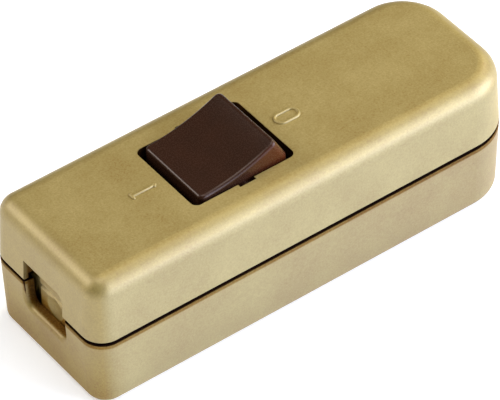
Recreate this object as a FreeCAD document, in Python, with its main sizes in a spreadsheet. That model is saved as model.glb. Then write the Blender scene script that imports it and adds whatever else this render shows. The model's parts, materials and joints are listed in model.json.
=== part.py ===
"""Inline cord switch: two-shell housing, two-pole rocker mechanism, terminals and cord clamps.

Millimetres. Origin at the middle of the bottom face, +X along the length towards the round end,
+Z up. The rocker rests in the ON position, its -X side pressed down.
"""
import os
import re

import FreeCAD
import Part
import Sketcher

SIZES = (
    # Housing
    ("body_length", 83.0),
    ("body_width", 28.5),
    ("body_height", 24.75),
    ("split_height", 12.9),
    ("shadow_gap", 0.7),
    ("shell_wall", 1.8),
    ("roof_wall", 2.0),
    ("floor_wall", 2.0),
    ("near_corner", 3.8),
    ("far_corner", 9.2),
    ("upper_draft", 3.0),
    ("lower_draft", 1.9),
    ("top_round", 3.2),
    ("bottom_round", 1.2),
    ("rim_round", 0.25),
    ("lip_setback", 0.9),
    ("lip_height", 1.6),
    ("fit_gap", 0.1),
    # Cord entries
    ("entry_width", 10.4),
    ("entry_rise", 4.4),
    ("entry_drop", 5.0),
    ("entry_corner", 1.5),
    ("entry_round", 0.9),
    # Rocker
    ("pivot_x", -8.37),
    ("pivot_depth", 1.6),
    ("rocker_tilt", 14.3),
    ("rocker_width", 15.0),
    ("rocker_top", 14.9),
    ("rocker_waist", 17.2),
    ("rocker_foot", 16.6),
    ("rocker_rise", 4.2),
    ("rocker_waist_drop", 0.2),
    ("rocker_skirt", 2.2),
    ("rocker_dish_radius", 32.0),
    ("rocker_round", 0.6),
    ("rocker_corner", 1.0),
    ("rocker_wall", 1.4),
    ("opening_length", 19.4),
    ("opening_gap", 0.45),
    ("opening_corner", 1.2),
    ("notch_width", 3.05),
    ("notch_depth", 0.6),
    ("trunnion_diameter", 2.0),
    ("trunnion_reach", 10.4),
    ("bearing_width", 6.0),
    ("bearing_wall", 0.6),
    ("running_gap", 0.05),
    # Poles
    ("pole_offset", 3.9),
    ("boss_diameter", 5.0),
    ("boss_drop", 4.2),
    ("bore_diameter", 3.6),
    ("bore_top", 1.6),
    ("plunger_head", 2.6),
    ("plunger_cone", 1.65),
    ("plunger_tip_radius", 0.9),
    ("plunger_gap", 0.05),
    ("spring_diameter", 3.2),
    ("spring_wire", 0.4),
    ("spring_turns", 5.0),
    ("contact_tilt", 4.0),
    ("contact_axis_height", 14.2),
    ("blade_width", 3.4),
    ("blade_thickness", 0.6),
    ("blade_rise", 0.1),
    ("blade_heel", 6.6),
    ("blade_reach", 8.9),
    ("contact_diameter", 2.4),
    ("rivet_diameter", 1.2),
    ("rivet_upset", 0.3),
    ("contact_reach", 7.6),
    ("contact_height", 0.7),
    ("contact_dome_radius", 3.0),
    ("contact_gap", 0.1),
    # Terminals
    ("strip_width", 4.0),
    ("strip_thickness", 0.8),
    ("strip_bend", 0.4),
    ("shelf_height", 6.5),
    ("supply_end_setback", 13.5),
    ("supply_screw_setback", 17.0),
    ("load_tab_overhang", 1.8),
    ("load_leg_x", 1.6),
    ("load_end_setback", 25.5),
    ("load_screw_setback", 29.0),
    ("terminal_thread", 3.0),
    ("terminal_head", 5.0),
    ("terminal_head_height", 1.9),
    ("terminal_screw_drop", 3.0),
    ("washer_side", 5.0),
    ("washer_thickness", 0.8),
    ("slot_width", 0.8),
    ("slot_depth", 0.9),
    ("earth_setback", 17.5),
    ("earth_y", 4.2),
    ("earth_length", 11.0),
    ("earth_width", 5.6),
    ("earth_height", 6.0),
    ("earth_screw_pitch", 5.6),
    ("earth_bore", 3.2),
    # Ribs and pillars of the shells
    ("rib_thickness", 1.4),
    ("supply_rib_setback", 14.5),
    ("supply_inner_rib_x", -11.6),
    ("load_inner_rib_x", 4.4),
    ("load_rib_setback", 26.3),
    ("barrier_height", 11.4),
    ("stop_distance", 5.8),
    ("pillar_diameter", 6.0),
    ("near_pillar_setback", 11.5),
    ("far_pillar_setback", 19.5),
    ("pillar_y", 9.0),
    ("housing_thread", 3.0),
    ("housing_head", 5.4),
    ("housing_head_height", 2.0),
    ("housing_seat_height", 4.2),
    ("housing_screw_length", 15.0),
    # Cord clamps
    ("clamp_setback", 5.3),
    ("clamp_depth", 5.0),
    ("clamp_screw_y", 7.0),
    ("clamp_thickness", 2.4),
    ("clamp_seat_drop", 0.3),
    ("clamp_thread", 2.6),
    ("clamp_head", 4.4),
    ("clamp_head_height", 1.7),
    ("clamp_screw_drop", 5.0),
    ("jaw_face_setback", 2.1),
    ("jaw_width", 7.5),
    ("jaw_height", 5.0),
    ("jaw_thickness", 2.0),
    ("jaw_gap", 0.15),
    ("saddle_chamfer", 0.9),
    ("saddle_depth", 4.2),
    ("dish_radius", 4.6),
    ("dish_depth", 0.55),
    ("dish_drop", 3.1),
    ("post_diameter", 5.2),
)
POLES = (("line", -1), ("neutral", 1))
ENDS = (("near", -1), ("far", 1))

# Heights and places that follow from the driving sizes
LOWER_RIM = "(split_height - shadow_gap / 2)"
UPPER_RIM = "(split_height + shadow_gap / 2)"
LIP_TOP = "(split_height - shadow_gap / 2 + lip_height)"
ROOF = "(body_height - roof_wall)"
PIVOT_Z = "(body_height - pivot_depth)"
OPENING_HALF_WIDTH = "(rocker_width / 2 + opening_gap)"
BEARING_FACE = "(rocker_width / 2 + opening_gap + notch_depth)"
BLADE_TOP = "(contact_axis_height + blade_rise + blade_thickness)"
PLUNGER_REACH = f"({PIVOT_Z} - {BLADE_TOP} - plunger_gap)"
CONTACT_X = ("(pivot_x + contact_reach * cos(contact_tilt * 1deg)"
             " - (contact_height - blade_rise) * sin(contact_tilt * 1deg))")
FIXED_CONTACT_TOP = ("(contact_axis_height - contact_reach * sin(contact_tilt * 1deg)"
                     " - (contact_height - blade_rise) * cos(contact_tilt * 1deg) - contact_gap)")
LOAD_TAB_TOP = f"({FIXED_CONTACT_TOP} - contact_height)"
STRIP_TOP = "(shelf_height + strip_thickness)"
WASHER_TOP = "(shelf_height + strip_thickness + washer_thickness)"
STOP_X = "(pivot_x - stop_distance)"
STOP_TOP = ("(contact_axis_height + blade_rise * cos(contact_tilt * 1deg) - contact_gap"
            " - (stop_distance + rib_thickness / 2) * sin(contact_tilt * 1deg))")
CLAMP_SEAT = "(split_height - clamp_seat_drop)"
JAW_FACE = "(body_length / 2 - jaw_face_setback)"
SADDLE_TOP = f"({CLAMP_SEAT} - jaw_gap)"
SUPPLY_END = "(supply_end_setback - body_length / 2)"
SUPPLY_SCREW = "(supply_screw_setback - body_length / 2)"
SUPPLY_RIB = "(supply_rib_setback - body_length / 2)"
LOAD_END = "(body_length / 2 - load_end_setback)"
LOAD_SCREW = "(body_length / 2 - load_screw_setback)"
LOAD_RIB = "(body_length / 2 - load_rib_setback)"
NEAR_PILLAR = "(near_pillar_setback - body_length / 2)"
FAR_PILLAR = "(body_length / 2 - far_pillar_setback)"
CLAMP_X = "(body_length / 2 - clamp_setback)"
EARTH_X = "(body_length / 2 - earth_setback)"
EARTH_BASE = "floor_wall"
EARTH_TOP = "(floor_wall + earth_height)"

doc = FreeCAD.newDocument("inline_cord_switch")
sheet = doc.addObject("Spreadsheet::Sheet", "Sizes")
for row, (alias, number) in enumerate(SIZES, start=1):
    sheet.set(f"A{row}", alias)
    sheet.set(f"B{row}", str(number))
    sheet.setAlias(f"B{row}", alias)
doc.recompute()
ALIASES = {alias for alias, number in SIZES}
X_AXIS = FreeCAD.Vector(1, 0, 0)
Y_AXIS = FreeCAD.Vector(0, 1, 0)
QUARTER_TURN = 90
WIRE_SIDES = 6
TOLERANCE = 0.01
NODES = []


def sized(text):
    """Turn the size names in an expression into references to the spreadsheet."""
    return re.sub(r"[a-z_]+", lambda word: f"Sizes.{word[0]}" if word[0] in ALIASES else word[0], text)


def size(text):
    """Read an expression of sizes as a number."""
    return float(sheet.evalExpression(sized(text)))


def bind(item, **expressions):
    """Bind properties to expressions; x, y, z and turn stand for the placement."""
    paths = {"x": "Placement.Base.x", "y": "Placement.Base.y", "z": "Placement.Base.z",
             "turn": "Placement.Rotation.Angle"}
    for name, text in expressions.items():
        item.setExpression(paths.get(name, name), sized(text))
    return item


def box(name, x_range, y_range, z_range):
    item = doc.addObject("Part::Box", name)
    spans = [f"({high}) - ({low})" for low, high in (x_range, y_range, z_range)]
    bind(item, Length=spans[0], Width=spans[1], Height=spans[2])
    return bind(item, x=x_range[0], y=y_range[0], z=z_range[0])


def cylinder(name, diameter, height, x="0", y="0", z="0", along_y=False):
    item = doc.addObject("Part::Cylinder", name)
    if along_y:
        item.Placement.Rotation = FreeCAD.Rotation(X_AXIS, -QUARTER_TURN)
    return bind(item, Radius=f"({diameter}) / 2", Height=height, x=x, y=y, z=z)


def fuse(name, items):
    item = doc.addObject("Part::MultiFuse", name)
    item.Shapes = items
    item.Refine = True
    return item


def cut(name, base, tools):
    item = doc.addObject("Part::Cut", name)
    item.Base = base
    item.Tool = tools[0] if len(tools) == 1 else fuse(f"{name}_tools", tools)
    item.Refine = True
    return item


def common(name, first, second):
    item = doc.addObject("Part::Common", name)
    item.Base = first
    item.Tool = second
    return item


def edges_where(feature, test):
    """Names of the edges of a feature that pass a test on their bounding box."""
    doc.recompute()
    return [f"Edge{number}" for number, edge in enumerate(feature.Shape.Edges, start=1)
            if test(edge.BoundBox)]


def round_edges(body, name, radius, test):
    base = body.Tip
    fillet = body.newObject("PartDesign::Fillet", name)
    fillet.Base = (base, edges_where(base, test))
    return bind(fillet, Radius=radius)


def sketch_on(body, name, role, offset="0"):
    sketch = body.newObject("Sketcher::SketchObject", name)
    plane = next(item for item in body.Origin.OriginFeatures if item.Role == role)
    sketch.AttachmentSupport = (plane, [""])
    sketch.MapMode = "FlatFace"
    sketch.setExpression("AttachmentOffset.Base.z", sized(offset))
    return sketch


def draw_outline(sketch, points):
    """Closed outline through points given as pairs of expressions, each point dimensioned."""
    places = [FreeCAD.Vector(size(across), size(up), 0) for across, up in points]
    total = len(points)
    for index in range(total):
        sketch.addGeometry(Part.LineSegment(places[index], places[(index + 1) % total]))
    for index, (across, up) in enumerate(points):
        sketch.addConstraint(Sketcher.Constraint("Coincident", index, 1, (index - 1) % total, 2))
        dimension_point(sketch, index, f"point{index}", across, up)


def dimension_point(sketch, line, label, across, up):
    for kind, suffix, text in (("DistanceX", "across", across), ("DistanceY", "up", up)):
        number = sketch.addConstraint(Sketcher.Constraint(kind, -1, 1, line, 1, size(text)))
        sketch.renameConstraint(number, f"{label}_{suffix}")
        sketch.setExpression(f"Constraints.{label}_{suffix}", sized(text))


def draw_circle(sketch, up, radius):
    """Circle centred on the sketch's upright axis, its centre and radius dimensioned."""
    sketch.addGeometry(Part.Circle(FreeCAD.Vector(0, size(up), 0), FreeCAD.Vector(0, 0, 1), size(radius)))
    sketch.addConstraint(Sketcher.Constraint("PointOnObject", 0, 3, -2))
    rules = (("centre_up", ("DistanceY", -1, 1, 0, 3), up), ("radius", ("Radius", 0), radius))
    for label, rule, text in rules:
        number = sketch.addConstraint(Sketcher.Constraint(*rule, size(text)))
        sketch.renameConstraint(number, label)
        sketch.setExpression(f"Constraints.{label}", sized(text))


def pad(body, name, sketch, length, reversed_way=False, midplane=False):
    item = body.newObject("PartDesign::Pad", name)
    item.Profile = sketch
    item.Reversed = reversed_way
    item.Midplane = midplane
    return bind(item, Length=length)


def tapered_block(name, inset, plane_z, height, draft=None, downwards=False):
    """Plan outline of the housing, inset from its walls, rounded and drafted away from its plane."""
    body = doc.addObject("PartDesign::Body", name)
    sketch = sketch_on(body, f"{name}_plan", "XY_Plane", plane_z)
    half_length = f"(body_length / 2 - ({inset}))"
    half_width = f"(body_width / 2 - ({inset}))"
    draw_outline(sketch, ((f"-{half_length}", f"-{half_width}"), (half_length, f"-{half_width}"),
                          (half_length, half_width), (f"-{half_length}", half_width)))
    pad(body, f"{name}_pad", sketch, height, reversed_way=downwards)
    tall = size(height) / 2
    round_edges(body, f"{name}_near", f"near_corner - ({inset})",
                lambda bounds: bounds.ZLength > tall and bounds.XMax < 0)
    round_edges(body, f"{name}_far", f"far_corner - ({inset})",
                lambda bounds: bounds.ZLength > tall and bounds.XMin > 0 and bounds.YLength < TOLERANCE
                and abs(bounds.XMax - size(half_length)) < TOLERANCE)
    if draft:
        draft_walls(body, plane_z, draft, downwards)
    return body


def draft_walls(body, plane_z, angle, downwards):
    """Lean the walls and corners of a block inwards from the plane of its outline, as a mould needs."""
    base = body.Tip
    doc.recompute()
    flat = at_height(plane_z)
    faces = list(enumerate(base.Shape.Faces, start=1))
    lean = body.newObject("PartDesign::Draft", f"{body.Name}_lean")
    lean.Base = (base, [f"Face{number}" for number, face in faces if face.BoundBox.ZLength > TOLERANCE])
    lean.NeutralPlane = (base, [f"Face{number}" for number, face in faces if flat(face.BoundBox)])
    lean.Reversed = downwards
    return bind(lean, Angle=angle)


def at_height(text):
    """Test for edges that lie flat at one height."""
    level = size(text)
    return lambda bounds: abs(bounds.ZMin - level) < TOLERANCE and abs(bounds.ZMax - level) < TOLERANCE


def finish(item, label):
    item.Label = label
    NODES.append(item)
    return item


def entry_pocket(body, end, side, points, depth):
    """Cut a cord entry into one end face of a shell blank; an upright sketch looks along +X."""
    sketch = sketch_on(body, f"{body.Name}_{end}_entry", "YZ_Plane", f"{side} * body_length / 2")
    draw_outline(sketch, points)
    pocket = body.newObject("PartDesign::Pocket", f"{body.Name}_{end}_pocket")
    pocket.Profile = sketch
    pocket.Reversed = side < 0
    return bind(pocket, Length=depth)


def along(side, low, high):
    """Range along X of a piece at one end, given by its distances from the middle."""
    return (f"{low}", f"{high}") if side > 0 else (f"-({high})", f"-({low})")


def pillar_places():
    """Names and centres of the two screw pillars, on opposite sides of the cord."""
    return (("near", NEAR_PILLAR, "pillar_y"), ("far", FAR_PILLAR, "-pillar_y"))


def clamp_places():
    """Names and centres of the four cord clamp screws."""
    return [(f"{end}_{pole}", f"{side} * {CLAMP_X}", f"{across} * clamp_screw_y")
            for end, side in ENDS for pole, across in POLES]


def upper_blank():
    body = tapered_block("upper_blank", "0", UPPER_RIM, f"body_height - {UPPER_RIM}", "upper_draft")
    round_edges(body, "upper_top_round", "top_round", at_height("body_height"))
    round_edges(body, "upper_rim_round", "rim_round", at_height(UPPER_RIM))
    half = "(entry_width / 2)"
    points = ((f"-{half}", LOWER_RIM), (half, LOWER_RIM),
              (half, "split_height + entry_rise"), (f"-{half}", "split_height + entry_rise"))
    for end, side in ENDS:
        entry_pocket(body, end, side, points, "2 * shell_wall")
        round_edges(body, f"upper_{end}_corner", "entry_corner", entry_corner(side))
    return body


def entry_corner(side):
    """Test for the upper edge of an entry on its right-hand side, seen from outside."""
    flat = at_height("split_height + entry_rise")
    place = side * size("entry_width / 2")
    return lambda bounds: (flat(bounds) and bounds.YLength < TOLERANCE and bounds.Center.x * side > 0
                           and abs(bounds.YMin - place) < TOLERANCE)


def upper_shell():
    hollow = tapered_block("upper_hollow", "shell_wall", UPPER_RIM, f"{ROOF} - {UPPER_RIM}", "upper_draft")
    rebate = tapered_block("upper_rebate", "lip_setback", UPPER_RIM,
                           f"{LIP_TOP} + fit_gap - {UPPER_RIM}")
    shell = cut("upper_case", upper_blank(), [hollow, rebate])
    inside = []
    holes = [rocker_opening()]
    for side in (-1, 1):
        near_y = BEARING_FACE if side > 0 else f"-({BEARING_FACE} + 2 * shell_wall)"
        far_y = f"({BEARING_FACE} + 2 * shell_wall)" if side > 0 else f"-{BEARING_FACE}"
        inside.append(box("bearing", ("pivot_x - bearing_width / 2", "pivot_x + bearing_width / 2"),
                          (near_y, far_y), (f"{PIVOT_Z} - trunnion_diameter", f"{ROOF} + bearing_wall")))
        reach = "(trunnion_reach + running_gap)"
        radius = "(trunnion_diameter / 2 + running_gap)"
        low_y = OPENING_HALF_WIDTH if side > 0 else f"-{reach}"
        high_y = reach if side > 0 else f"-{OPENING_HALF_WIDTH}"
        holes.append(cylinder("bearing_bore", f"2 * {radius}", f"({high_y}) - ({low_y})",
                              "pivot_x", low_y, PIVOT_Z, along_y=True))
        holes.append(box("bearing_slot", (f"pivot_x - {radius}", f"pivot_x + {radius}"), (low_y, high_y),
                         (f"{PIVOT_Z} - 2 * trunnion_diameter", PIVOT_Z)))
    for name, x, y in pillar_places():
        inside.append(cylinder(f"{name}_upper_pillar", "pillar_diameter",
                               f"{ROOF} + bearing_wall - split_height", x, y, "split_height"))
        holes.append(cylinder(f"{name}_upper_bore", "housing_thread + 2 * running_gap",
                              "housing_seat_height + housing_screw_length + fit_gap - split_height",
                              x, y, "split_height"))
    return finish(cut("upper_shell", fuse("upper_solid", [shell] + inside), holes), "upper_shell")


def rocker_opening():
    """Cutter for the rocker opening with its rounded corners and the two trunnion notches."""
    body = doc.addObject("PartDesign::Body", "opening")
    sketch = sketch_on(body, "opening_plan", "XY_Plane", f"{ROOF} - roof_wall")
    left = "(pivot_x - opening_length / 2)"
    right = "(pivot_x + opening_length / 2)"
    draw_outline(sketch, ((left, f"-{OPENING_HALF_WIDTH}"), (right, f"-{OPENING_HALF_WIDTH}"),
                          (right, OPENING_HALF_WIDTH), (left, OPENING_HALF_WIDTH)))
    pad(body, "opening_pad", sketch, "3 * roof_wall")
    round_edges(body, "opening_corners", "opening_corner", lambda bounds: bounds.ZLength > 1)
    notches = box("notches", ("pivot_x - notch_width / 2", "pivot_x + notch_width / 2"),
                  (f"-{BEARING_FACE}", BEARING_FACE), (f"{ROOF} - roof_wall", "body_height + roof_wall"))
    return fuse("opening_tool", [body, notches])


def lower_blank():
    """Solid of the lower shell with its cord entries, each rounded inside and at its mouth."""
    body = tapered_block("lower_blank", "0", LOWER_RIM, LOWER_RIM, "lower_draft", downwards=True)
    round_edges(body, "lower_bottom_round", "bottom_round", at_height("0"))
    half = "(entry_width / 2)"
    floor = "(split_height - entry_drop)"
    points = ((f"-{half}", floor), (half, floor), (half, UPPER_RIM), (f"-{half}", UPPER_RIM))
    for end, side in ENDS:
        entry_pocket(body, end, side, points, "2 * shell_wall")
        round_edges(body, f"lower_{end}_corners", "entry_corner", entry_corners(side, floor))
        round_edges(body, f"lower_{end}_mouth", "entry_round", entry_mouth(side, floor))
    return body


def entry_corners(side, floor):
    """Test for the two edges along X where the sides of an entry meet its floor."""
    flat = at_height(floor)
    return lambda bounds: flat(bounds) and bounds.YLength < TOLERANCE and bounds.Center.x * side > 0


def entry_mouth(side, floor):
    """Test for the edges of an entry that lie in the end face."""
    half = size("entry_width / 2") + TOLERANCE
    low = size(floor) - TOLERANCE
    outer = size("body_length / 2 - shell_wall / 2")
    return lambda bounds: (bounds.Center.x * side > outer and bounds.ZMin > low
                           and bounds.YMin > -half and bounds.YMax < half)


def lower_shell():
    wall_reach = "(body_width / 2 - shell_wall / 2)"
    lip_block = tapered_block("lower_lip", "lip_setback + fit_gap", f"{LOWER_RIM} - lip_height",
                              "2 * lip_height")
    lip = cut("lower_lip_ring", lip_block, [entry_gap(end, side) for end, side in ENDS])
    hollow = tapered_block("lower_hollow", "shell_wall", LIP_TOP, f"{LIP_TOP} - floor_wall", "lower_draft",
                           downwards=True)
    shell = cut("lower_case", fuse("lower_solid", [lower_blank(), lip]), [hollow])
    inside = [box("barrier", (SUPPLY_RIB, LOAD_RIB), ("-rib_thickness / 2", "rib_thickness / 2"),
                  ("floor_wall / 2", "barrier_height"))]
    for place in (SUPPLY_RIB, "supply_inner_rib_x", "load_inner_rib_x", LOAD_RIB):
        inside.append(box("shelf_rib", (f"{place} - rib_thickness / 2", f"{place} + rib_thickness / 2"),
                          (f"-{wall_reach}", wall_reach), ("floor_wall / 2", "shelf_height")))
    stop_half = "(pole_offset + strip_width / 2 + rib_thickness)"
    inside.append(box("blade_stop", (f"{STOP_X} - rib_thickness / 2", f"{STOP_X} + rib_thickness / 2"),
                      (f"-{stop_half}", stop_half), ("floor_wall / 2", STOP_TOP)))
    holes = [box("strip_slot", (f"{STOP_X} - rib_thickness", f"{STOP_X} + rib_thickness"),
                 (f"{side} * pole_offset - strip_width / 2 - fit_gap",
                  f"{side} * pole_offset + strip_width / 2 + fit_gap"),
                 ("shelf_height - fit_gap", f"{STRIP_TOP} + fit_gap")) for pole, side in POLES]
    for name, x, y in pillar_places():
        inside.append(cylinder(f"{name}_lower_pillar", "pillar_diameter", "split_height - floor_wall / 2",
                               x, y, "floor_wall / 2"))
        inside.append(cylinder(f"{name}_pillar_base", "housing_head + 2 * rib_thickness",
                               "housing_seat_height + rib_thickness - floor_wall / 2",
                               x, y, "floor_wall / 2"))
        holes.append(cylinder(f"{name}_lower_bore", "housing_thread + 2 * fit_gap", "body_height",
                              x, y, "-floor_wall"))
        holes.append(cylinder(f"{name}_head_recess", "housing_head + 2 * fit_gap",
                              "housing_seat_height + floor_wall", x, y, "-floor_wall"))
    for name, x, y in clamp_places():
        inside.append(cylinder(f"{name}_post", "post_diameter", f"{CLAMP_SEAT} - floor_wall / 2",
                               x, y, "floor_wall / 2"))
        holes.append(cylinder(f"{name}_post_bore", "clamp_thread + 2 * running_gap",
                              "clamp_screw_drop + fit_gap", x, y,
                              f"{CLAMP_SEAT} - clamp_screw_drop - fit_gap"))
    inside += [saddle(end, side) for end, side in ENDS]
    return finish(cut("lower_shell", fuse("lower_filled", [shell] + inside), holes), "lower_shell")


def entry_gap(end, side):
    """Gap in the lip, where a cord entry passes through it."""
    half = "(entry_width / 2 + entry_round)"
    return box(f"{end}_lip_gap", along(side, "body_length / 2 - 2 * shell_wall", "body_length / 2"),
               (f"-{half}", half), (f"{LOWER_RIM} - 2 * lip_height", f"{LIP_TOP} + lip_height"))


def saddle(end, side):
    """Fixed jaw behind a cord entry: chamfered top edge and a shallow dish in its front face."""
    body = doc.addObject("PartDesign::Body", f"{end}_saddle")
    sketch = sketch_on(body, f"{end}_saddle_section", "XZ_Plane")
    front = f"{side} * {JAW_FACE}"
    back = f"{side} * ({JAW_FACE} - saddle_depth)"
    draw_outline(sketch, ((front, "floor_wall / 2"), (front, f"{SADDLE_TOP} - saddle_chamfer"),
                          (f"{side} * ({JAW_FACE} - saddle_chamfer)", SADDLE_TOP),
                          (back, SADDLE_TOP), (back, "floor_wall / 2")))
    pad(body, f"{end}_saddle_pad", sketch, "jaw_width", midplane=True)
    dish = doc.addObject("Part::Sphere", f"{end}_dish")
    bind(dish, Radius="dish_radius", x=f"{side} * ({JAW_FACE} + dish_radius - dish_depth)",
         z="split_height - dish_drop")
    return cut(f"{end}_saddle_cut", body, [dish])


def on_rocker(item):
    """Place a piece modelled about the rocker's pivot in the ON position."""
    item.Placement.Rotation = FreeCAD.Rotation(Y_AXIS, QUARTER_TURN)
    return bind(item, x="pivot_x", z=PIVOT_Z, turn="-rocker_tilt")


def rocker():
    body = doc.addObject("PartDesign::Body", "rocker_blank")
    sketch = sketch_on(body, "rocker_section", "XZ_Plane")
    top = "(rocker_top / 2)"
    waist = "(rocker_waist / 2)"
    foot = "(rocker_foot / 2)"
    draw_outline(sketch, ((f"-{foot}", "-rocker_skirt"), (foot, "-rocker_skirt"),
                          (waist, "-rocker_waist_drop"), (top, "rocker_rise"),
                          (f"-{top}", "rocker_rise"), (f"-{waist}", "-rocker_waist_drop")))
    pad(body, "rocker_pad", sketch, "rocker_width", midplane=True)
    dish = sketch_on(body, "rocker_dish_circle", "XZ_Plane")
    rise = "rocker_rise + sqrt(rocker_dish_radius ^ 2 - (rocker_top / 2) ^ 2)"
    draw_circle(dish, rise, "rocker_dish_radius")
    pocket = body.newObject("PartDesign::Pocket", "rocker_dish")
    pocket.Profile = dish
    pocket.Midplane = True
    bind(pocket, Length="2 * rocker_width")
    skirt = size("rocker_skirt")
    side = size("rocker_width / 2")
    round_edges(body, "rocker_corners", "rocker_corner",
                lambda bounds: bounds.ZLength > skirt / 2 and abs(abs(bounds.YMin) - side) < TOLERANCE
                and bounds.YLength < TOLERANCE and bounds.XLength < bounds.ZLength)
    round_edges(body, "rocker_rim", "rocker_round", lambda bounds: bounds.ZMin > skirt / 2)
    hollow = box("rocker_hollow", ("-(rocker_top / 2 - rocker_wall / 2)", "rocker_top / 2 - rocker_wall / 2"),
                 ("-(rocker_width / 2 - rocker_wall)", "rocker_width / 2 - rocker_wall"),
                 ("-2 * rocker_skirt", "rocker_rise - 2 * rocker_wall + rocker_round"))
    shell = cut("rocker_shell", body, [hollow])
    fillings = []
    bores = []
    for pole, side in POLES:
        y = f"{side} * pole_offset"
        fillings.append(cylinder(f"{pole}_boss", "boss_diameter", "boss_drop + bore_top + rocker_wall",
                                 "0", y, "-boss_drop"))
        bores.append(cylinder(f"{pole}_bore", "bore_diameter", "2 * boss_drop + bore_top",
                              "0", y, "-2 * boss_drop"))
        start = "rocker_width / 2 - rocker_wall" if side > 0 else "-trunnion_reach"
        fillings.append(cylinder(f"{pole}_trunnion", "trunnion_diameter",
                                 "trunnion_reach - rocker_width / 2 + rocker_wall",
                                 "0", start, "0", along_y=True))
    whole = cut("rocker", fuse("rocker_filled", [shell] + fillings), bores)
    return finish(on_rocker(whole), "rocker")


def plunger(pole, side):
    stem = "bore_diameter - 2 * fit_gap"
    y = f"{side} * pole_offset"
    tip = f"({PLUNGER_REACH} - plunger_tip_radius)"
    neck = f"({tip} - plunger_cone)"
    head = cylinder(f"{pole}_plunger_stem", stem, f"{neck} - plunger_head", "0", y, f"-{neck}")
    cone = doc.addObject("Part::Cone", f"{pole}_plunger_cone")
    bind(cone, Radius1="plunger_tip_radius", Radius2=f"({stem}) / 2", Height="plunger_cone",
         y=y, z=f"-{tip}")
    ball = doc.addObject("Part::Sphere", f"{pole}_plunger_ball")
    bind(ball, Radius="plunger_tip_radius", y=y, z=f"-{tip}")
    return finish(on_rocker(fuse(f"{pole}_plunger", [head, cone, ball])), f"{pole}_plunger")


def spring(pole, side):
    """Coil spring between the end of the bore and the head of the plunger."""
    coil = doc.addObject("Part::Helix", f"{pole}_coil")
    height = "(bore_top + plunger_head - spring_wire - 2 * running_gap)"
    bind(coil, Radius="(spring_diameter - spring_wire) / 2", Height=height, Pitch=f"{height} / spring_turns",
         y=f"{side} * pole_offset", z="-plunger_head + spring_wire / 2 + running_gap")
    wire = doc.addObject("Part::RegularPolygon", f"{pole}_wire")
    wire.Polygon = WIRE_SIDES
    wire.Placement.Rotation = FreeCAD.Rotation(X_AXIS, QUARTER_TURN)
    bind(wire, Circumradius="spring_wire / 2", x="(spring_diameter - spring_wire) / 2",
         y=f"{side} * pole_offset", z="-plunger_head + spring_wire / 2 + running_gap")
    sweep = doc.addObject("Part::Sweep", f"{pole}_spring")
    sweep.Sections = [wire]
    doc.recompute()
    sweep.Spine = (coil, [f"Edge{number + 1}" for number in range(len(coil.Shape.Edges))])
    sweep.Solid = True
    sweep.Frenet = True
    return finish(on_rocker(sweep), f"{pole}_spring")


def on_fulcrum(item):
    """Place a piece modelled about the contact axis in the closed position."""
    item.Placement.Rotation = FreeCAD.Rotation(Y_AXIS, QUARTER_TURN)
    return bind(item, x="pivot_x", z="contact_axis_height", turn="contact_tilt")


def contact_blade(pole, side):
    y = f"{side} * pole_offset"
    plate = box(f"{pole}_plate", ("-blade_heel", "blade_reach"),
                (f"{y} - blade_width / 2", f"{y} + blade_width / 2"),
                ("blade_rise", "blade_rise + blade_thickness"))
    groove = cylinder(f"{pole}_groove", "strip_thickness + 2 * running_gap", "2 * blade_width",
                      "0", f"{y} - blade_width", "0", along_y=True)
    hole = cylinder(f"{pole}_rivet_hole", "rivet_diameter + 2 * running_gap", "4 * blade_thickness",
                    "contact_reach", y, "blade_rise - blade_thickness")
    finish(on_fulcrum(cut(f"{pole}_contact_blade", plate, [groove, hole])), f"{pole}_contact_blade")
    head = cylinder(f"{pole}_contact_head", "contact_diameter", "contact_height",
                    "contact_reach", y, "blade_rise - contact_height")
    shank = cylinder(f"{pole}_contact_shank", "rivet_diameter",
                     "contact_height / 2 + blade_thickness + rivet_upset",
                     "contact_reach", y, "blade_rise - contact_height / 2")
    upset = cylinder(f"{pole}_contact_upset", "rivet_diameter + 2 * rivet_upset", "rivet_upset",
                     "contact_reach", y, "blade_rise + blade_thickness")
    finish(on_fulcrum(fuse(f"{pole}_moving_contact", [head, shank, upset])), f"{pole}_moving_contact")


def at_places(places):
    """Test for edges across the strip at given places in its section."""
    spots = [(size(x), size(z)) for x, z in places]
    return lambda bounds: any(abs(bounds.Center.x - x) < TOLERANCE and abs(bounds.Center.z - z) < TOLERANCE
                              for x, z in spots)


def bent_strip(name, y, points, inner_bends, outer_bends):
    """Brass strip bent from its section, with the inside and outside radius of each bend."""
    body = doc.addObject("PartDesign::Body", name)
    sketch = sketch_on(body, f"{name}_section", "XZ_Plane")
    draw_outline(sketch, points)
    pad(body, f"{name}_pad", sketch, "strip_width", midplane=True)
    round_edges(body, f"{name}_inside", "strip_bend", at_places(inner_bends))
    round_edges(body, f"{name}_outside", "strip_bend + strip_thickness", at_places(outer_bends))
    return bind(body, y=y)


def thread_hole(name, x, y):
    return cylinder(name, "terminal_thread + 2 * running_gap", "2 * strip_width",
                    x, y, "shelf_height - strip_width")


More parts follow.
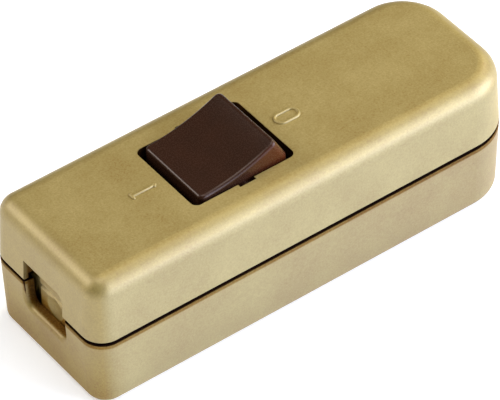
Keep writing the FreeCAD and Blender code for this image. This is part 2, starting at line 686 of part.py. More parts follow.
def supply_terminal(pole, side):
    """Strip from the near clamping screw to the upright fulcrum that carries the contact blade."""
    y = f"{side} * pole_offset"
    front = "(pivot_x + strip_thickness / 2)"
    back = "(pivot_x - strip_thickness / 2)"
    strip = bent_strip(f"{pole}_supply_strip", y,
                       ((SUPPLY_END, "shelf_height"), (front, "shelf_height"),
                        (front, "contact_axis_height"), (back, "contact_axis_height"),
                        (back, STRIP_TOP), (SUPPLY_END, STRIP_TOP)),
                       [(back, STRIP_TOP)], [(front, "shelf_height")])
    crest = cylinder(f"{pole}_fulcrum", "strip_thickness", "strip_width", "pivot_x", f"{y} - strip_width / 2",
                     "contact_axis_height", along_y=True)
    hole = thread_hole(f"{pole}_supply_hole", SUPPLY_SCREW, y)
    terminal = cut(f"{pole}_supply_terminal", fuse(f"{pole}_supply_blank", [strip, crest]), [hole])
    return finish(terminal, f"{pole}_supply_terminal")


def load_terminal(pole, side):
    """Strip from the raised tab under the contact to the far clamping screw."""
    y = f"{side} * pole_offset"
    tab_end = f"({CONTACT_X} - load_tab_overhang)"
    tab_low = f"({LOAD_TAB_TOP} - strip_thickness)"
    leg_back = "(load_leg_x - strip_thickness)"
    strip = bent_strip(f"{pole}_load_strip", y,
                       ((tab_end, tab_low), (leg_back, tab_low), (leg_back, "shelf_height"),
                        (LOAD_END, "shelf_height"), (LOAD_END, STRIP_TOP), ("load_leg_x", STRIP_TOP),
                        ("load_leg_x", LOAD_TAB_TOP), (tab_end, LOAD_TAB_TOP)),
                       [(leg_back, tab_low), ("load_leg_x", STRIP_TOP)],
                       [(leg_back, "shelf_height"), ("load_leg_x", LOAD_TAB_TOP)])
    rivet_hole = cylinder(f"{pole}_load_rivet_hole", "rivet_diameter + 2 * running_gap", "2 * strip_width",
                          CONTACT_X, y, f"{tab_low} - strip_width")
    hole = thread_hole(f"{pole}_load_hole", LOAD_SCREW, y)
    return finish(cut(f"{pole}_load_terminal", strip, [rivet_hole, hole]), f"{pole}_load_terminal")


def fixed_contact(pole, side):
    """Domed silver rivet in the tab of the load terminal."""
    y = f"{side} * pole_offset"
    disc = cylinder(f"{pole}_fixed_disc", "contact_diameter", "contact_height", CONTACT_X, y, LOAD_TAB_TOP)
    ball = doc.addObject("Part::Sphere", f"{pole}_fixed_ball")
    bind(ball, Radius="contact_dome_radius", x=CONTACT_X, y=y, z=f"{FIXED_CONTACT_TOP} - contact_dome_radius")
    shank = cylinder(f"{pole}_fixed_shank", "rivet_diameter", "strip_thickness + contact_height / 2",
                     CONTACT_X, y, f"{LOAD_TAB_TOP} - strip_thickness")
    head = common(f"{pole}_fixed_head", disc, ball)
    return finish(fuse(f"{pole}_fixed_contact", [head, shank]), f"{pole}_fixed_contact")


def washer(pole, side, place):
    y = f"{side} * pole_offset"
    half = "washer_side / 2"
    plate = box("washer_plate", (f"{place} - {half}", f"{place} + {half}"),
                (f"{y} - {half}", f"{y} + {half}"), (STRIP_TOP, WASHER_TOP))
    return cut("washer", plate, [thread_hole("washer_hole", place, y)])


def screw(name, x, y, seat, upwards, thread, length, head, head_height):
    """Slotted cheese-head screw standing on its seat, its head above or below it."""
    low_shank = seat if upwards else f"{seat} - ({length})"
    low_head = f"{seat} - ({head_height})" if upwards else seat
    face = low_head if upwards else f"{seat} + ({head_height})"
    shank = cylinder(f"{name}_shank", thread, length, x, y, low_shank)
    disc = cylinder(f"{name}_head", head, head_height, x, y, low_head)
    slot = box(f"{name}_slot", (f"{x} - ({head})", f"{x} + ({head})"),
               (f"{y} - slot_width / 2", f"{y} + slot_width / 2"),
               (f"{face} - slot_depth", f"{face} + slot_depth"))
    return cut(name, fuse(f"{name}_blank", [shank, disc]), [slot])


def group(label, items):
    """Like fasteners kept as separate solids of one node."""
    item = doc.addObject("Part::Compound", label)
    item.Links = items
    return finish(item, label)


def earth_places():
    return [f"{EARTH_X} + {side} * earth_screw_pitch / 2" for side in (-1, 1)]


def earth_terminal():
    """Brass block that joins the two earth cores straight through."""
    block = box("earth_block", (f"{EARTH_X} - earth_length / 2", f"{EARTH_X} + earth_length / 2"),
                ("earth_y - earth_width / 2", "earth_y + earth_width / 2"), (EARTH_BASE, EARTH_TOP))
    bore = doc.addObject("Part::Cylinder", "earth_wire_bore")
    bore.Placement.Rotation = FreeCAD.Rotation(Y_AXIS, QUARTER_TURN)
    bind(bore, Radius="earth_bore / 2", Height="2 * earth_length", x=f"{EARTH_X} - earth_length", y="earth_y",
         z=f"{EARTH_BASE} + earth_height / 2")
    holes = [cylinder("earth_thread", "terminal_thread + 2 * running_gap", "earth_height", place, "earth_y",
                      f"{EARTH_BASE} + earth_height / 2") for place in earth_places()]
    return finish(cut("earth_terminal", block, [bore] + holes), "earth_terminal")


def terminal_screws():
    items = []
    for pole, side in POLES:
        for place in (SUPPLY_SCREW, LOAD_SCREW):
            items.append(screw(f"{pole}_screw", place, f"{side} * pole_offset", WASHER_TOP, False,
                               "terminal_thread", "washer_thickness + strip_thickness + terminal_screw_drop",
                               "terminal_head", "terminal_head_height"))
    for place in earth_places():
        items.append(screw("earth_screw", place, "earth_y", EARTH_TOP, False, "terminal_thread",
                           "earth_height / 2", "terminal_head", "terminal_head_height"))
    return group("terminal_screws", items)


def cord_clamp(end, side):
    """Clamp bar across two posts, with a jaw that closes the entry above the saddle."""
    bar = box(f"{end}_bar", along(side, f"{CLAMP_X} - clamp_depth / 2", f"{CLAMP_X} + clamp_depth / 2"),
              ("-clamp_screw_y", "clamp_screw_y"), (CLAMP_SEAT, f"{CLAMP_SEAT} + clamp_thickness"))
    jaw = box(f"{end}_jaw", along(side, f"{JAW_FACE} - jaw_thickness", JAW_FACE),
              ("-jaw_width / 2", "jaw_width / 2"), (CLAMP_SEAT, f"{CLAMP_SEAT} + jaw_height"))
    pieces = [bar, jaw]
    holes = []
    for pole, across in POLES:
        place = (f"{side} * {CLAMP_X}", f"{across} * clamp_screw_y")
        pieces.append(cylinder(f"{end}_ear", "clamp_depth", "clamp_thickness", *place, CLAMP_SEAT))
        holes.append(cylinder(f"{end}_ear_hole", "clamp_thread + 2 * fit_gap", "3 * clamp_thickness",
                              *place, f"{CLAMP_SEAT} - clamp_thickness"))
    return finish(cut(f"{end}_cord_clamp", fuse(f"{end}_clamp_blank", pieces), holes), f"{end}_cord_clamp")


upper_shell()
lower_shell()
rocker()
for pole_name, pole_side in POLES:
    plunger(pole_name, pole_side)
    spring(pole_name, pole_side)
    contact_blade(pole_name, pole_side)
    supply_terminal(pole_name, pole_side)
    load_terminal(pole_name, pole_side)
    fixed_contact(pole_name, pole_side)
earth_terminal()
terminal_screws()
group("terminal_washers", [washer(pole_name, pole_side, place) for pole_name, pole_side in POLES
                           for place in (SUPPLY_SCREW, LOAD_SCREW)])
for end_name, end_side in ENDS:
    cord_clamp(end_name, end_side)
group("clamp_screws", [screw(f"{name}_clamp_screw", x, y, f"{CLAMP_SEAT} + clamp_thickness", False,
                             "clamp_thread", "clamp_thickness + clamp_screw_drop", "clamp_head",
                             "clamp_head_height")
                       for name, x, y in clamp_places()])
group("housing_screws", [screw(f"{name}_housing_screw", x, y, "housing_seat_height", True, "housing_thread",
                               "housing_screw_length", "housing_head", "housing_head_height")
                         for name, x, y in pillar_places()])

doc.recompute()
for item in doc.Objects:
    if {"Invalid", "Error"} & set(item.State):
        raise RuntimeError(f"{item.Name} failed: {item.State}")
os.makedirs("parts", exist_ok=True)
for node in NODES:
    if node.Shape.isNull() or not node.Shape.isValid():
        raise RuntimeError(f"{node.Label} has no valid shape")
    node.Shape.exportStep(f"parts/{node.Label}.step")
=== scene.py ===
"""Looks of the inline cord switch: finishes, raised 0 and 1 marks, springs, studio light and camera.

Metres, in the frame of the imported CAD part: +X along the length, +Z up, bottom on the floor.
"""
import json
import math

import bmesh
import bpy
from mathutils import Matrix, Vector


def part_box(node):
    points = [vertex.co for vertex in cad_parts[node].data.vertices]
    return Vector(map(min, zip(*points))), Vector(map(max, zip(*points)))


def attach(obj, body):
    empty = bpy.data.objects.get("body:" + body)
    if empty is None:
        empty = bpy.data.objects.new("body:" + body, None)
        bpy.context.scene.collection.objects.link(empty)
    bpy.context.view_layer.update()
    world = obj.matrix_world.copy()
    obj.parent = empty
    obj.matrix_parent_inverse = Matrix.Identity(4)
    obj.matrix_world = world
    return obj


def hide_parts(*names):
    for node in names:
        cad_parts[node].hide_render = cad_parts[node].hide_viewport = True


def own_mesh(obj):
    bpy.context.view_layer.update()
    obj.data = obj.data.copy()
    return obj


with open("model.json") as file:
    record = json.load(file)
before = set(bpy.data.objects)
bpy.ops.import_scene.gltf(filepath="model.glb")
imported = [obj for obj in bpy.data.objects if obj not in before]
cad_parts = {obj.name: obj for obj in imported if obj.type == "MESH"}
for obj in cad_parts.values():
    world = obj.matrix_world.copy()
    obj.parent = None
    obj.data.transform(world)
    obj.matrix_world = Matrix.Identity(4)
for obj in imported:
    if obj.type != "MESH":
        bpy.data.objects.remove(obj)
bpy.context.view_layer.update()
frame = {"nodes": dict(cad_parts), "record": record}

MM = 0.001
HOUSING = "housing"
ROCKER = "rocker"
POLES = ("line", "neutral")
GOLD_SLOT = "gold_plastic"
SPRING_SLOT = "spring_steel"
WHITE = (1.0, 1.0, 1.0, 1.0)

# Camera fitted to the photograph's outline, for an image of 500 x 400
CAMERA_PLACE = Vector((-0.28904, -0.40042, 0.47726))
CAMERA_AIM = Vector((0.42313, 0.59035, -0.68735))
CAMERA_ROLL = math.radians(-1.646)
CAMERA_LENS = 311.05
SENSOR_WIDTH = 36.0

# Softboxes: azimuth from +X towards +Y and elevation in degrees, side in metres, power in watts
LIGHT_DISTANCE = 1.0
NEUTRAL = (1.0, 1.0, 1.0)
WARM = (1.12, 1.05, 0.83)
COOL = (0.85, 0.96, 1.25)
COLD = (0.83, 0.95, 1.28)
SOFTBOXES = (
    ("front_left", -90, 12, 0.45, 1.3, COLD),
    ("front", -60, 12, 0.45, 5.0, COLD),
    ("front_right", -30, 12, 0.45, 7.3, COOL),
    ("front_right_high", -46, 36, 0.50, 4.0, COOL),
    ("right_high", 15, 36, 0.50, 3.5, WARM),
    ("left_high", 138, 34, 0.45, 4.8, NEUTRAL),
    ("overhead", 0, 90, 0.60, 4.3, NEUTRAL),
)
WORLD_STRENGTH = 0.02

# Pale floor a hair below the part
FLOOR_SIZE = 6.0
FLOOR_CLEARANCE = 0.02 * MM
FLOOR_TONE = (0.90, 0.90, 0.90, 1.0)
FLOOR_ROUGHNESS = 0.8
FLOOR_GLOW = 0.34

# Outline of the housing, for telling painted outside faces from bare inside faces
_, SHELL_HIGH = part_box("upper_shell")
ROOF = SHELL_HIGH[2]
HALF_LENGTH = 41.5 * MM
HALF_WIDTH = 14.25 * MM
NEAR_CORNER = 3.8 * MM
FAR_CORNER = 9.2 * MM
SEAM = 12.5 * MM
WALL_LEAN = 0.045

# How deep below the outline a face still counts as painted; a run is where a change begins and ends
# Near the seam only a thin skin is painted, so the groove's shoulder shows near-black bare plastic,
# which also stands in for the shade in the groove
SEAM_SKIN = 0.2 * MM
WALL_SKIN = 1.05 * MM
WALL_SKIN_RUN = (1.7 * MM, 7.5 * MM)
# Round the rocker opening only the very edge is painted, so its walls show near-black bare plastic,
# which also stands in for the shade in the gap round the rocker
ROOF_SKIN_SHARE = 0.16
ROOF_SKIN_RUN = (3.4 * MM, 4.2 * MM)
PAINT_EDGE_RUN = (-0.05 * MM, 0.15 * MM)

# Cord entries: painted right through, with painted shade in the recess in front of the jaw
ENTRY_HALF_WIDTH = 5.3 * MM
ENTRY_INNER_HALF_WIDTH = 9.5 * MM
ENTRY_WALL_RUN = (2.0 * MM, 2.6 * MM)
ENTRY_EDGE_RUN = (0.0, 0.1 * MM)
ENTRY_TOP_RUN = (6.0 * MM, 7.0 * MM)
ENTRY_PAINT_DEPTH = 14.0 * MM
ENTRY_SHADE = 0.27
ENTRY_SHADE_RUN = (0.3 * MM, 0.95 * MM)
JAW_RUN = (1.9 * MM, 2.1 * MM)

# Lower shell, painted shade: darker towards the far end and at the foot of the near end, and an
# amber band along the rim for the shade and gold reflection in the groove
LOWER_SHELL_RUN = (SEAM, SEAM + 0.1 * MM)
FAR_SHADE = 0.10
FAR_SHADE_RUN = (-36.0 * MM, 20.0 * MM)
RIM_SHADE = 0.2
RIM_SHADE_RUN = (SEAM - 0.7 * MM, SEAM - 0.4 * MM)
FOOT_SHADE = 0.12
FOOT_SHADE_RUN = (2.0 * MM, 14.0 * MM)
NEAR_END_RUN = (-HALF_LENGTH + 1.5 * MM, -HALF_LENGTH + 6.0 * MM)

# Gold paint: thin lacquer on the roof, and painted sheen: a paler gold on the roof and a greyer gold
# on the long sides
LACQUER_IOR = 1.8
LACQUER_ROUGHNESS = 0.5
# Lacquer left where the gold carries painted shade
SHADED_LACQUER = 0.1
SHADED_LACQUER_RUN = (0.0, 0.2)
ROOF_LACQUER = 0.05
ROOF_SHEEN_TINT = (1.10, 1.16, 2.00)
ROOF_FACING_RUN = (0.93, 0.995)
SIDE_SHEEN_TINT = (0.91, 0.99, 1.60)
SIDE_FACING_RUN = (0.80, 0.99)
PAINT_TONE = 0.5
PAINT_METALLIC = 0.5
PAINT_ROUGHNESS = (0.42, 0.66)
MOTTLING_GRAIN = 9.0 * MM
MOTTLING_RANGE = (-0.015, 0.265)
FLAKE_GRAIN = 0.34 * MM
FLAKE_SHARE = 0.40
FLAKE_RELIEF = 0.03 * MM
GOLD_STOPS = (
    (0.22, (0.012, 0.005, 0.002)),
    (0.40, (0.060, 0.024, 0.005)),
    (0.56, (0.215, 0.098, 0.010)),
    (0.82, (0.350, 0.246, 0.049)),
    (1.00, (0.460, 0.330, 0.078)),
)

# Brown plastic: painted light on the flanks, redder and lighter along the length
BROWN_SPECULAR = 0.36
BROWN_SPECULAR_TINT = (1.0, 0.84, 0.74, 1.0)
BROWN_ROUGHNESS = (0.22, 0.32)
BROWN_MOTTLING_GRAIN = 3.0 * MM
BROWN_MOTTLING_SHARE = 0.3
BROWN_GRAIN = 0.18 * MM
BROWN_RELIEF = 0.002 * MM
FLANK_LIGHT_RUN = (-11.0 * MM, -0.5 * MM)
FLANK_LIGHT_SHARE = 0.7
BROWN_STOPS = (
    (0.05, (0.030, 0.0125, 0.0066)),
    (0.30, (0.042, 0.0160, 0.0080)),
    (0.90, (0.085, 0.0175, 0.0034)),
)

# White plastic
WHITE_ROUGHNESS = (0.38, 0.52)
WHITE_MOTTLING_GRAIN = 2.0 * MM
WHITE_GRAIN = 0.2 * MM
WHITE_STOPS = (
    (0.3, (0.78, 0.76, 0.70)),
    (0.7, (0.84, 0.82, 0.77)),
)

# Metals: slot, name, darker and lighter colour, range of roughness, grain
METALS = (
    (SPRING_SLOT, "spring_wire", (0.50, 0.50, 0.51), (0.60, 0.60, 0.61), (0.20, 0.32), 0.3 * MM),
    ("brass", "stamped_brass", (0.70, 0.50, 0.20), (0.80, 0.60, 0.28), (0.24, 0.40), 0.6 * MM),
    ("silver", "silver_contact", (0.78, 0.77, 0.74), (0.88, 0.87, 0.84), (0.20, 0.36), 0.4 * MM),
    ("zinc_steel", "zinc_plate", (0.60, 0.61, 0.63), (0.72, 0.73, 0.74), (0.28, 0.42), 0.5 * MM),
)
METAL_BAND = (0.3, 0.7)
METAL_RELIEF = 0.004 * MM

# Raised marks on the roof
RIDGE_WIDTH = 0.58 * MM
RIDGE_HEIGHT = 0.28 * MM
RIDGE_SINK = 0.03 * MM
WELD_DISTANCE = 0.001 * MM
ZERO_CENTRE = Vector((5.37 * MM, -0.03 * MM))
ZERO_HALF_LENGTH = 2.12 * MM
ZERO_HALF_WIDTH = 1.08 * MM
ONE_TIP = Vector((-19.9 * MM, -0.08 * MM))
ONE_FOOT = Vector((-24.25 * MM, -0.08 * MM))
ONE_FOOT_HALF = 0.5 * MM
ONE_FLAG = Vector((-0.28 * MM, -0.24 * MM))

# Springs behind the plungers, in the tilted rocker
COIL_TURNS = 5
COIL_RADIUS = 1.4 * MM
WIRE_RADIUS = 0.2 * MM
ACROSS = Vector((0.0, 1.0, 0.0))


def add_camera():
    data = bpy.data.cameras.new("camera")
    data.lens = CAMERA_LENS
    data.sensor_width = SENSOR_WIDTH
    camera = bpy.data.objects.new("camera", data)
    turn = CAMERA_AIM.to_track_quat("-Z", "Y").to_matrix().to_4x4()
    roll = Matrix.Rotation(CAMERA_ROLL, 4, "Z")
    camera.matrix_world = Matrix.Translation(CAMERA_PLACE) @ turn @ roll
    bpy.context.scene.collection.objects.link(camera)
    bpy.context.scene.camera = camera


def add_softbox(name, azimuth, elevation, side, power, colour):
    """Square area light at a fixed distance from the part, facing it."""
    data = bpy.data.lights.new(name, "AREA")
    data.shape = "SQUARE"
    data.size = side
    data.energy = power
    data.color = colour
    light = bpy.data.objects.new(name, data)
    turn = math.radians(azimuth)
    lift = math.radians(elevation)
    level = math.cos(lift)
    outward = Vector((math.cos(turn) * level, math.sin(turn) * level, math.sin(lift)))
    light.location = outward * LIGHT_DISTANCE
    light.rotation_euler = (-outward).to_track_quat("-Z", "Y").to_euler()
    bpy.context.scene.collection.objects.link(light)


def add_world():
    world = bpy.data.worlds.new("studio")
    world.use_nodes = True
    background = world.node_tree.nodes["Background"]
    background.inputs["Color"].default_value = WHITE
    background.inputs["Strength"].default_value = WORLD_STRENGTH
    bpy.context.scene.world = world


def add_floor():
    mesh = bpy.data.meshes.new("floor")
    half = FLOOR_SIZE / 2
    corners = [(-half, -half, 0), (half, -half, 0), (half, half, 0), (-half, half, 0)]
    mesh.from_pydata(corners, [], [(0, 1, 2, 3)])
    floor = bpy.data.objects.new("floor", mesh)
    floor.location.z = -FLOOR_CLEARANCE
    bpy.context.scene.collection.objects.link(floor)
    finish = Finish(
        "pale_floor",
        Base_Color=FLOOR_TONE,
        Roughness=FLOOR_ROUGHNESS,
        Specular_IOR_Level=0.0,
        Emission_Color=WHITE,
        Emission_Strength=FLOOR_GLOW,
    )
    mesh.materials.append(finish.material)


class Finish:
    """Node material built around one Principled shader, from object coordinates and normals."""

    def __init__(self, name, **sockets):
        self.material = bpy.data.materials.new(name)
        self.material.use_nodes = True
        self.tree = self.material.node_tree
        self.shader = self.tree.nodes["Principled BSDF"]
        for socket, value in sockets.items():
            self.shader.inputs[socket.replace("_", " ")].default_value = value
        source = self.tree.nodes.new("ShaderNodeTexCoord")
        self.coordinates = source.outputs["Object"]
        self.facing = source.outputs["Normal"]

    def feed(self, socket, value):
        """Link an output to a socket, or set the socket to a number."""
        if isinstance(value, (int, float)):
            socket.default_value = value
        else:
            self.tree.links.new(value, socket)

    def drive(self, socket, output):
        """Feed one of the shader's own sockets."""
        self.feed(self.shader.inputs[socket], output)

    def noise(self, grain, detail=2.0, roughness=0.5):
        """Noise whose grain is given in metres."""
        node = self.tree.nodes.new("ShaderNodeTexNoise")
        node.inputs["Scale"].default_value = 1.0 / grain
        node.inputs["Detail"].default_value = detail
        node.inputs["Roughness"].default_value = roughness
        self.feed(node.inputs["Vector"], self.coordinates)
        return node.outputs["Fac"]

    def ramp(self, factor, stops):
        """Colour of a factor between stops of (position, colour)."""
        node = self.tree.nodes.new("ShaderNodeValToRGB")
        elements = node.color_ramp.elements
        while len(elements) < len(stops):
            elements.new(0.5)
        for element, (position, colour) in zip(elements, stops):
            element.position = position
            element.color = (*colour, 1.0)
        self.feed(node.inputs["Fac"], factor)
        return node.outputs["Color"]

    def spread(self, factor, low, high, start=0.0, end=1.0):
        """Spread a factor between two numbers, each a constant or an output."""
        node = self.tree.nodes.new("ShaderNodeMapRange")
        node.inputs["From Min"].default_value = start
        node.inputs["From Max"].default_value = end
        self.feed(node.inputs["To Min"], low)
        self.feed(node.inputs["To Max"], high)
        self.feed(node.inputs["Value"], factor)
        return node.outputs["Result"]

    def maths(self, operation, first, second=0.0):
        node = self.tree.nodes.new("ShaderNodeMath")
        node.operation = operation
        self.feed(node.inputs[0], first)
        self.feed(node.inputs[1], second)
        return node.outputs[0]

    def axes(self, vector):
        """The three numbers of a vector."""
        node = self.tree.nodes.new("ShaderNodeSeparateXYZ")
        self.feed(node.inputs[0], vector)
        return node.outputs

    def length(self, first, second):
        """Length of a vector in the plane."""
        pair = self.tree.nodes.new("ShaderNodeCombineXYZ")
        self.feed(pair.inputs[0], first)
        self.feed(pair.inputs[1], second)
        node = self.tree.nodes.new("ShaderNodeVectorMath")
        node.operation = "LENGTH"
        self.feed(node.inputs[0], pair.outputs[0])
        return node.outputs["Value"]

    def tinted(self, colour, tint, factor):
        """A colour multiplied by a tint as far as the factor says."""
        node = self.tree.nodes.new("ShaderNodeMix")
        node.data_type = "RGBA"
        node.blend_type = "MULTIPLY"
        sockets = {socket.identifier: socket for socket in node.inputs}
        self.feed(sockets["Factor_Float"], factor)
        self.feed(sockets["A_Color"], colour)
        sockets["B_Color"].default_value = (*tint, 1.0)
        return next(socket for socket in node.outputs if socket.identifier == "Result_Color")

    def bump(self, height, distance):
        node = self.tree.nodes.new("ShaderNodeBump")
        node.inputs["Strength"].default_value = 1.0
        node.inputs["Distance"].default_value = distance
        self.feed(node.inputs["Height"], height)
        self.drive("Normal", node.outputs["Normal"])


def wall_depth(finish, along, across, from_seam):
    """Depth inside the housing's outline, with its rounded corners and its walls leaning in."""
    corner = finish.spread(along, NEAR_CORNER, FAR_CORNER, -HALF_WIDTH, HALF_WIDTH)
    straight_length = finish.maths("SUBTRACT", HALF_LENGTH, corner)
    straight_width = finish.maths("SUBTRACT", HALF_WIDTH, corner)
    past_length = finish.maths("SUBTRACT", finish.maths("ABSOLUTE", along), straight_length)
    past_width = finish.maths("SUBTRACT", finish.maths("ABSOLUTE", across), straight_width)
    outside = finish.length(
        finish.maths("MAXIMUM", past_length, 0.0),
        finish.maths("MAXIMUM", past_width, 0.0),
    )
    inside = finish.maths("MINIMUM", finish.maths("MAXIMUM", past_length, past_width), 0.0)
    below_corner = finish.maths("SUBTRACT", corner, finish.maths("ADD", outside, inside))
    return finish.maths("SUBTRACT", below_corner, finish.maths("MULTIPLY", from_seam, WALL_LEAN))


def paint_cover(finish):
    """Paint on the housing: 1 outside and 0 on inside faces, and the painted shade in a cord entry's
    recess.
    """
    along, across, up = finish.axes(finish.coordinates)
    from_seam = finish.maths("ABSOLUTE", finish.maths("SUBTRACT", up, SEAM))
    in_wall = wall_depth(finish, along, across, from_seam)
    in_roof = finish.maths("SUBTRACT", ROOF, up)
    depth = finish.maths("MINIMUM", finish.maths("MINIMUM", in_wall, in_roof), up)
    wall_skin = finish.spread(from_seam, SEAM_SKIN, WALL_SKIN, *WALL_SKIN_RUN)
    roof_share = finish.spread(in_wall, 1.0, ROOF_SKIN_SHARE, *ROOF_SKIN_RUN)
    skin = finish.maths("MULTIPLY", wall_skin, roof_share)
    half_width = finish.spread(in_wall, ENTRY_HALF_WIDTH, ENTRY_INNER_HALF_WIDTH, *ENTRY_WALL_RUN)
    beside = finish.maths("SUBTRACT", finish.maths("ABSOLUTE", across), half_width)
    below_roof = finish.spread(in_roof, 0.0, 1.0, *ENTRY_TOP_RUN)
    entry = finish.spread(beside, ENTRY_PAINT_DEPTH, 0.0, *ENTRY_EDGE_RUN)
    limit = finish.maths("MAXIMUM", skin, finish.maths("MULTIPLY", entry, below_roof))
    painted = finish.spread(finish.maths("SUBTRACT", limit, depth), 0.0, 1.0, *PAINT_EDGE_RUN)
    # Painted shade: the recess of a cord entry darkens towards amber up to the jaw, for its shade
    # and gold reflection
    going_in = finish.spread(depth, 0.0, ENTRY_SHADE, *ENTRY_SHADE_RUN)
    before_jaw = finish.spread(depth, 1.0, 0.0, *JAW_RUN)
    recess_shade = finish.maths("MULTIPLY", going_in, before_jaw)
    return painted, finish.maths("MULTIPLY", recess_shade, below_roof)


def lower_shell_shade(finish):
    """Painted shade on the lower shell: the far end, an amber band along the rim in the groove, and
    the foot of the near end.
    """
    along, _, up = finish.axes(finish.coordinates)
    lower = finish.spread(up, 1.0, 0.0, *LOWER_SHELL_RUN)
    shade = finish.spread(along, 0.0, FAR_SHADE, *FAR_SHADE_RUN)
    rim = finish.spread(up, 0.0, RIM_SHADE, *RIM_SHADE_RUN)
    foot = finish.spread(up, FOOT_SHADE, 0.0, *FOOT_SHADE_RUN)
    near_end = finish.spread(along, 1.0, 0.0, *NEAR_END_RUN)
    rim_and_foot_shade = finish.maths("MAXIMUM", rim, finish.maths("MULTIPLY", foot, near_end))
    return finish.maths("MULTIPLY", lower, shade), finish.maths("MULTIPLY", lower, rim_and_foot_shade)


def gold_paint():
    """Satin metallic paint over brown plastic: fine flakes, faint mottling and orange peel, with
    painted sheen on the roof and long sides and painted shade on the lower shell and in the cord
    entries.
    """
    finish = Finish(
        "gold_paint",
        Specular_IOR_Level=0.0,
        Coat_IOR=LACQUER_IOR,
        Coat_Roughness=LACQUER_ROUGHNESS,
    )
    painted, entry_shade = paint_cover(finish)
    shade, rim_and_foot_shade = lower_shell_shade(finish)
    # Painted shade of the rim, the foot and the cord entries: it darkens the gold towards amber and
    # takes away most of the lacquer
    shaded = finish.maths("MAXIMUM", rim_and_foot_shade, entry_shade)
    _, facing_side, facing_up = finish.axes(finish.facing)
    roof = finish.spread(facing_up, 0.0, 1.0, *ROOF_FACING_RUN)
    side = finish.spread(finish.maths("ABSOLUTE", facing_side), 0.0, 1.0, *SIDE_FACING_RUN)
    mottling = finish.noise(MOTTLING_GRAIN, detail=5.0, roughness=0.62)
    flakes = finish.noise(FLAKE_GRAIN, detail=2.0, roughness=0.8)
    pattern = finish.maths(
        "ADD",
        finish.spread(mottling, *MOTTLING_RANGE),
        finish.maths("MULTIPLY", flakes, FLAKE_SHARE),
    )
    tone = finish.maths("ADD", finish.maths("MULTIPLY", painted, PAINT_TONE), pattern)
    darker = finish.maths("ADD", shade, shaded)
    gold = finish.ramp(finish.maths("SUBTRACT", tone, darker), GOLD_STOPS)
    # Painted sheen: faces of the long sides are tinted greyer and faces of the roof paler, by the
    # way they face
    gold = finish.tinted(gold, SIDE_SHEEN_TINT, side)
    gold = finish.tinted(gold, ROOF_SHEEN_TINT, roof)
    lacquer = finish.spread(shaded, 1.0, SHADED_LACQUER, *SHADED_LACQUER_RUN)
    lacquer = finish.maths("MULTIPLY", lacquer, painted)
    lacquer = finish.maths("MULTIPLY", lacquer, finish.spread(roof, 1.0, ROOF_LACQUER))
    finish.drive("Base Color", gold)
    finish.drive("Coat Weight", lacquer)
    finish.drive("Metallic", finish.spread(painted, 0.0, PAINT_METALLIC))
    finish.drive("Roughness", finish.spread(flakes, *PAINT_ROUGHNESS))
    finish.bump(flakes, FLAKE_RELIEF)
    return finish.material


def brown_plastic():
    """Dark brown moulded plastic: grained, almost black face, and painted light on the sides, redder
    towards one end.
    """
    finish = Finish(
        "brown_plastic",
        Specular_IOR_Level=BROWN_SPECULAR,
        Specular_Tint=BROWN_SPECULAR_TINT,
    )
    along, _, _ = finish.axes(finish.coordinates)
    _, facing_side, _ = finish.axes(finish.facing)
    # Painted light: side faces turn redder and lighter towards one end
    flank_light = finish.spread(along, 0.0, 1.0, *FLANK_LIGHT_RUN)
    lit_flank = finish.maths("MULTIPLY", finish.maths("ABSOLUTE", facing_side), flank_light)
    mottling = finish.noise(BROWN_MOTTLING_GRAIN, detail=3.0)
    tone = finish.maths(
        "ADD",
        finish.maths("MULTIPLY", mottling, BROWN_MOTTLING_SHARE),
        finish.maths("MULTIPLY", lit_flank, FLANK_LIGHT_SHARE),
    )
    grain = finish.noise(BROWN_GRAIN)
    finish.drive("Base Color", finish.ramp(tone, BROWN_STOPS))
    finish.drive("Roughness", finish.spread(grain, *BROWN_ROUGHNESS))
    finish.bump(grain, BROWN_RELIEF)
    return finish.material


def white_plastic():
    """Off-white moulded plastic, faintly uneven."""
    finish = Finish("white_plastic")
    finish.drive("Base Color", finish.ramp(finish.noise(WHITE_MOTTLING_GRAIN), WHITE_STOPS))
    finish.drive("Roughness", finish.spread(finish.noise(WHITE_GRAIN), *WHITE_ROUGHNESS))
    return finish.material


def metal(name, low, high, roughness, grain):
    """Bright metal with a rolled or drawn grain in its colour and roughness."""
    finish = Finish(name, Metallic=1.0)
    pattern = finish.noise(grain, detail=4.0, roughness=0.6)
    finish.drive("Base Color", finish.ramp(pattern, tuple(zip(METAL_BAND, (low, high)))))
    finish.drive("Roughness", finish.spread(pattern, *roughness))
    finish.bump(pattern, METAL_RELIEF)
    return finish.material


def dress_nodes():
    """Give each CAD node the finish of its material slot."""
    finishes = {
        GOLD_SLOT: gold_paint(),
        "brown_plastic": brown_plastic(),
        "white_plastic": white_plastic(),
    }
    for slot, name, low, high, roughness, grain in METALS:
        finishes[slot] = metal(name, low, high, roughness, grain)
    for subpart in frame["record"]["subparts"]:
        mesh = frame["nodes"][subpart["node"]].data
        mesh.materials.clear()
        mesh.materials.append(finishes[subpart["material_slot"]])
    return finishes


def mesh_object(name, mesh, material):
    """Smooth object in the scene from a bmesh, which is freed."""
    data = bpy.data.meshes.new(name)
    mesh.to_mesh(data)
    mesh.free()
    data.shade_smooth()
    data.materials.append(material)
    made = bpy.data.objects.new(name, data)
    bpy.context.scene.collection.objects.link(made)
    return made


def stadium(centre, half_length, half_width, arc_steps=16):
    """Closed path of two straight runs joined by half circles."""
    straight = half_length - half_width
    points = []
    for side, start in ((1, -math.pi / 2), (-1, math.pi / 2)):
        for step in range(arc_steps + 1):
            angle = start + math.pi * step / arc_steps
            ahead = side * straight + half_width * math.cos(angle)
            points.append(centre + Vector((ahead, half_width * math.sin(angle))))
    return points


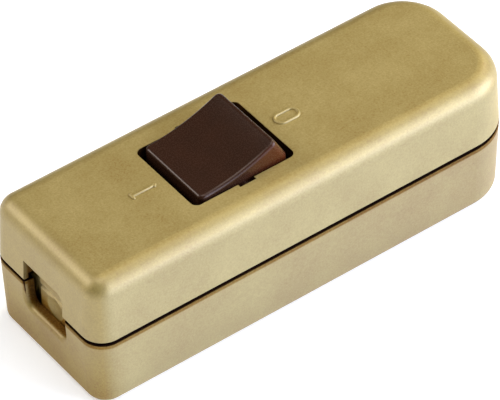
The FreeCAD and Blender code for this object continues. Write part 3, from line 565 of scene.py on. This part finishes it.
def rounded_run(start, end, cap_steps=4):
    """Straight run as (point, scale) pairs whose ends die away like a dome."""
    along = (end - start).normalized() * (RIDGE_WIDTH / 2)
    turns = [math.pi / 2 * step / cap_steps for step in range(cap_steps, 0, -1)]
    head = [(start - along * math.sin(turn), math.cos(turn)) for turn in turns]
    tail = [(end + along * math.sin(turn), math.cos(turn)) for turn in reversed(turns)]
    return head + [(start, 1.0), (end, 1.0)] + tail


def add_ridge(mesh, stations, closed, section_steps=10):
    """Sweep a half-round ridge standing on the roof along (point, scale) stations."""
    count = len(stations)
    rows = []
    for index, (point, scale) in enumerate(stations):
        before = stations[index - 1][0] if closed or index else point
        after = stations[(index + 1) % count][0] if closed or index + 1 < count else point
        heading = (after - before).normalized()
        sideways = Vector((-heading.y, heading.x))
        row = []
        for step in range(section_steps + 1):
            angle = math.pi * step / section_steps
            spot = point - sideways * (math.cos(angle) * scale * RIDGE_WIDTH / 2)
            rise = math.sin(angle) * scale * (RIDGE_HEIGHT + RIDGE_SINK) - RIDGE_SINK
            row.append(mesh.verts.new((spot.x, spot.y, ROOF + rise)))
        rows.append(row)
    pairs = list(zip(rows, rows[1:]))
    if closed:
        pairs.append((rows[-1], rows[0]))
    for row, following in pairs:
        for step in range(section_steps):
            mesh.faces.new((row[step], following[step], following[step + 1], row[step + 1]))


def add_mark(name, runs, material):
    """One raised mark on the roof, made of ridges."""
    mesh = bmesh.new()
    for stations, closed in runs:
        add_ridge(mesh, stations, closed)
    bmesh.ops.remove_doubles(mesh, verts=mesh.verts, dist=WELD_DISTANCE)
    bmesh.ops.recalc_face_normals(mesh, faces=mesh.faces)
    mark = mesh_object(name, mesh, material)
    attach(mark, HOUSING)


def add_marks(material):
    path = stadium(ZERO_CENTRE, ZERO_HALF_LENGTH, ZERO_HALF_WIDTH)
    ring = [(point, 1.0) for point in path]
    add_mark("mark_zero", [(ring, True)], material)
    serif = Vector((0.0, ONE_FOOT_HALF))
    add_mark("mark_one", [
        (rounded_run(ONE_FOOT, ONE_TIP), False),
        (rounded_run(ONE_FOOT - serif, ONE_FOOT + serif), False),
        (rounded_run(ONE_TIP, ONE_TIP + ONE_FLAG), False),
    ], material)


def coil_mesh(foot, axis, ahead, rise, turn_steps=32, wire_steps=8):
    """Round wire wound about an axis from its foot, closed at both ends."""
    steps = COIL_TURNS * turn_steps
    mesh = bmesh.new()
    rings = []
    for step in range(steps + 1):
        angle = 2 * math.pi * step / turn_steps
        outward = ahead * math.cos(angle) + ACROSS * math.sin(angle)
        spot = foot + axis * (rise * step / steps) + outward * COIL_RADIUS
        ring = []
        for side in range(wire_steps):
            turn = 2 * math.pi * side / wire_steps
            around = outward * math.cos(turn) + axis * math.sin(turn)
            ring.append(mesh.verts.new(spot + around * WIRE_RADIUS))
        rings.append(ring)
    for ring, following in zip(rings, rings[1:]):
        for side in range(wire_steps):
            beyond = (side + 1) % wire_steps
            mesh.faces.new((ring[side], ring[beyond], following[beyond], following[side]))
    mesh.faces.new(rings[0])
    mesh.faces.new(rings[-1])
    bmesh.ops.recalc_face_normals(mesh, faces=mesh.faces)
    return mesh


def extent(points, direction):
    """First and last place that points reach along a direction."""
    places = [point.dot(direction) for point in points]
    return min(places), max(places)


def add_coil(pole, material):
    """Round-wire spring for the CAD one, which its plunger shortens towards the end of the bore."""
    joint = f"{pole}_plunger_slide"
    joints = frame["record"]["behaviour"]["joints"]
    slide = next(entry for entry in joints if entry["name"] == joint)
    axis = Vector(slide["axis"]).normalized()
    ahead = ACROSS.cross(axis)
    node = frame["nodes"][f"{pole}_spring"]
    points = [node.matrix_world @ vertex.co for vertex in node.data.vertices]
    low, high = extent(points, axis)
    centre = ACROSS * (sum(extent(points, ACROSS)) / 2) + ahead * (sum(extent(points, ahead)) / 2)
    foot = centre + axis * (low + WIRE_RADIUS)
    mesh = coil_mesh(foot, axis, ahead, high - low - 2 * WIRE_RADIUS)
    coil = mesh_object(f"{pole}_coil", mesh, material)
    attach(coil, ROCKER)
    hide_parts(node.name)
    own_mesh(coil)


add_camera()
finishes = dress_nodes()
add_marks(finishes[GOLD_SLOT])
for pole in POLES:
    add_coil(pole, finishes[SPRING_SLOT])
add_floor()
add_world()
for softbox in SOFTBOXES:
    add_softbox(*softbox)
bpy.context.scene.view_settings.view_transform = "Standard"
